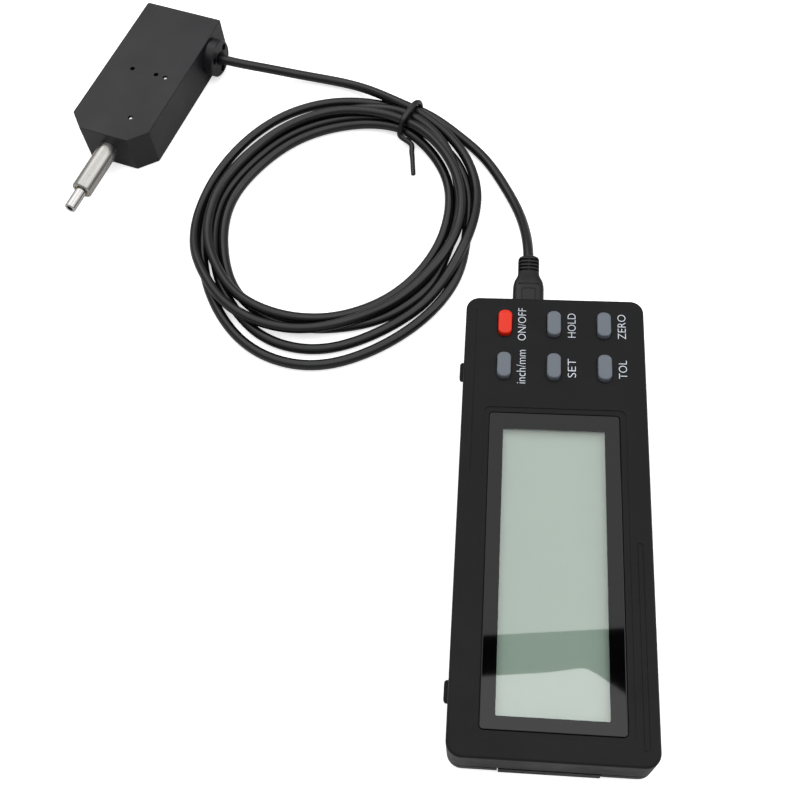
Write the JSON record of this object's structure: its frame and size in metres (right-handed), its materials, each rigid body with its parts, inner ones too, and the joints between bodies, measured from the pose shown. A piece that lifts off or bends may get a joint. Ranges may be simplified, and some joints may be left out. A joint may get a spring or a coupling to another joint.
{
  "type": "dial indicator",
  "caption": "Digital dial indicator: black probe head with sprung spindle, coiled lead and plug, and a remote display unit with liquid-crystal window and push buttons.",
  "frame": {"origin": "middle of the display unit's back, on the surface it lies on", "axes": "+Z out of the display's back towards its face, +Y along the display towards its socket end, +X across the display, away from the probe head"},
  "size_m": [0.2222, 0.303, 0.0219],
  "materials": {
    "case_plastic": "fine textured black",
    "button_grey": "satin grey",
    "button_red": "satin orange-red",
    "window_glass": "glossy, dark border",
    "lcd_glass": "greenish grey, unlit",
    "black_anodised": "black anodised, fine milled",
    "ground_steel": "ground",
    "brass": "turned",
    "circuit_board": "green solder mask",
    "cord_jacket": "semi-matte black",
    "cell_wrap": "plain wrap",
    "contact_rubber": "grey and pink layers"
  },
  "bodies": {
    "display": {"front_casing": "case_plastic", "rear_casing": "case_plastic", "window": "window_glass", "lcd_panel": "lcd_glass", "lcd_reflector": "lcd_glass", "zebra_strip_1": "contact_rubber", "zebra_strip_2": "contact_rubber", "main_board": "circuit_board", "switch_on_off": "ground_steel", "switch_hold": "ground_steel", "switch_zero": "ground_steel", "switch_unit": "ground_steel", "switch_set": "ground_steel", "switch_tolerance": "ground_steel", "usb_socket": "ground_steel", "battery_contact_1": "ground_steel", "battery_contact_2": "ground_steel", "battery_cell_1": "cell_wrap", "battery_cell_2": "cell_wrap", "casing_screw_1": "ground_steel", "casing_screw_2": "ground_steel", "casing_screw_3": "ground_steel", "casing_screw_4": "ground_steel"},
    "probe_set": {"probe_body": "black_anodised", "base_plate": "black_anodised", "plate_screw_1": "ground_steel", "plate_screw_2": "ground_steel", "plate_screw_3": "ground_steel", "plate_screw_4": "ground_steel", "set_screw_1": "ground_steel", "set_screw_2": "ground_steel", "stem": "ground_steel", "front_bush": "brass", "rear_bush": "brass", "return_spring": "ground_steel", "guide_rod": "ground_steel", "sensor_board": "circuit_board", "read_head": "case_plastic", "cable_gland": "black_anodised", "gland_screw_1": "ground_steel", "gland_screw_2": "ground_steel", "gland_screw_3": "ground_steel", "lead_to_probe": "cord_jacket", "lead_coil": "cord_jacket", "lead_to_display": "cord_jacket", "twist_tie": "cord_jacket", "plug_overmould": "cord_jacket", "plug_shell": "ground_steel"},
    "spindle_set": {"spindle": "ground_steel", "carriage": "brass", "scale_strip": "lcd_glass"},
    "battery_cover": {"battery_door": "case_plastic"},
    "key_on_off": {"button_on_off": "button_red"},
    "key_hold": {"button_hold": "button_grey"},
    "key_zero": {"button_zero": "button_grey"},
    "key_unit": {"button_unit": "button_grey"},
    "key_set": {"button_set": "button_grey"},
    "key_tolerance": {"button_tolerance": "button_grey"}
  },
  "joints": [
    {"name": "plug_pull", "type": "slide", "parent": "display", "child": "probe_set", "axis": [0, 1, 0], "range_m": [0, 0.012]},
    {"name": "spindle_slide", "type": "slide", "parent": "probe_set", "child": "spindle_set", "axis": [0.3003, 0.9538, 0], "range_m": [0, 0.008], "stiffness_N_per_m": 100, "springref_m": -0.006, "deforming": ["return_spring"]},
    {"name": "battery_door_slide", "type": "slide", "parent": "display", "child": "battery_cover", "axis": [0, -1, 0], "range_m": [0, 0.05]},
    {"name": "button_on_off_press", "type": "slide", "parent": "display", "child": "key_on_off", "axis": [0, 0, -1], "range_m": [0, 0.0008], "stiffness_N_per_m": 1500, "springref_m": -0.0002},
    {"name": "button_hold_press", "type": "slide", "parent": "display", "child": "key_hold", "axis": [0, 0, -1], "range_m": [0, 0.0008], "stiffness_N_per_m": 1500, "springref_m": -0.0002},
    {"name": "button_zero_press", "type": "slide", "parent": "display", "child": "key_zero", "axis": [0, 0, -1], "range_m": [0, 0.0008], "stiffness_N_per_m": 1500, "springref_m": -0.0002},
    {"name": "button_unit_press", "type": "slide", "parent": "display", "child": "key_unit", "axis": [0, 0, -1], "range_m": [0, 0.0008], "stiffness_N_per_m": 1500, "springref_m": -0.0002},
    {"name": "button_set_press", "type": "slide", "parent": "display", "child": "key_set", "axis": [0, 0, -1], "range_m": [0, 0.0008], "stiffness_N_per_m": 1500, "springref_m": -0.0002},
    {"name": "button_tolerance_press", "type": "slide", "parent": "display", "child": "key_tolerance", "axis": [0, 0, -1], "range_m": [0, 0.0008], "stiffness_N_per_m": 1500, "springref_m": -0.0002}
  ]
}
